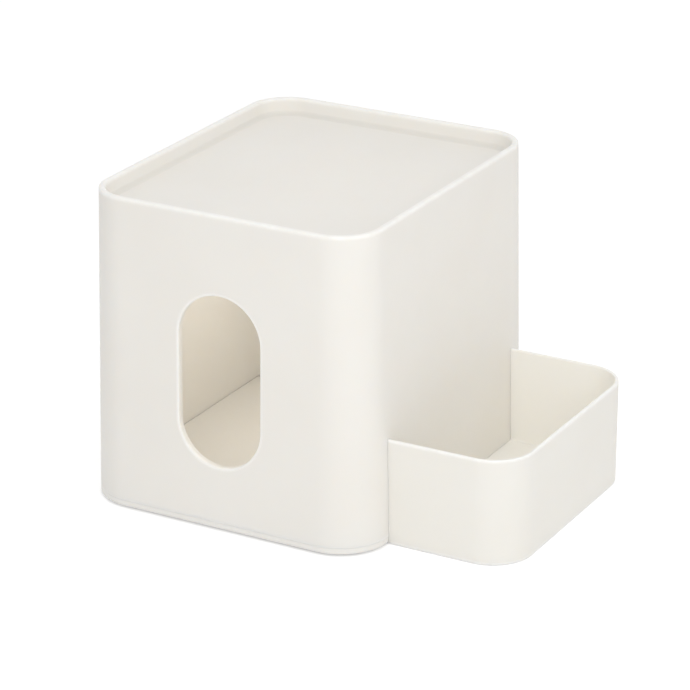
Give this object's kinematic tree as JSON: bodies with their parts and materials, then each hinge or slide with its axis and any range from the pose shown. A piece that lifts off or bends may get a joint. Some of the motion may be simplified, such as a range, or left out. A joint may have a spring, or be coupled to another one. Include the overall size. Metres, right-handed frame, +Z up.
{
  "type": "tissue box with pull-out side drawer",
  "caption": "Ivory plastic tissue box: lift-off cover with a recessed tray top and a round-ended front slot, and an open drawer that slides out round its side wall.",
  "frame": {"origin": "on the table, under the middle of the whole box with its drawer pulled out", "axes": "+X towards the drawer, -Y the front with the slot, +Z up"},
  "size_m": [0.1842, 0.1544, 0.1321],
  "materials": {
    "ivory_plastic": "satin moulded",
    "guide_plastic": "natural moulded",
    "soft_pad": "matte soft",
    "plated_screw": "zinc plated"
  },
  "bodies": {
    "base": {"base_plate": "ivory_plastic", "drawer_guide_front": "guide_plastic", "drawer_guide_back": "guide_plastic", "foot_pad_front_left": "soft_pad", "foot_pad_front_right": "soft_pad", "foot_pad_back_left": "soft_pad", "foot_pad_back_right": "soft_pad", "guide_screw_front_left": "plated_screw", "guide_screw_front_right": "plated_screw", "guide_screw_back_left": "plated_screw", "guide_screw_back_right": "plated_screw"},
    "cover": {"cover": "ivory_plastic"},
    "drawer": {"drawer": "ivory_plastic"}
  },
  "joints": [
    {"name": "drawer_slide", "type": "slide", "parent": "base", "child": "drawer", "axis": [1, 0, 0], "range_m": [-0.035, 0]},
    {"name": "cover_lift", "type": "slide", "parent": "base", "child": "cover", "axis": [0, 0, 1], "range_m": [0, 0.06]}
  ]
}
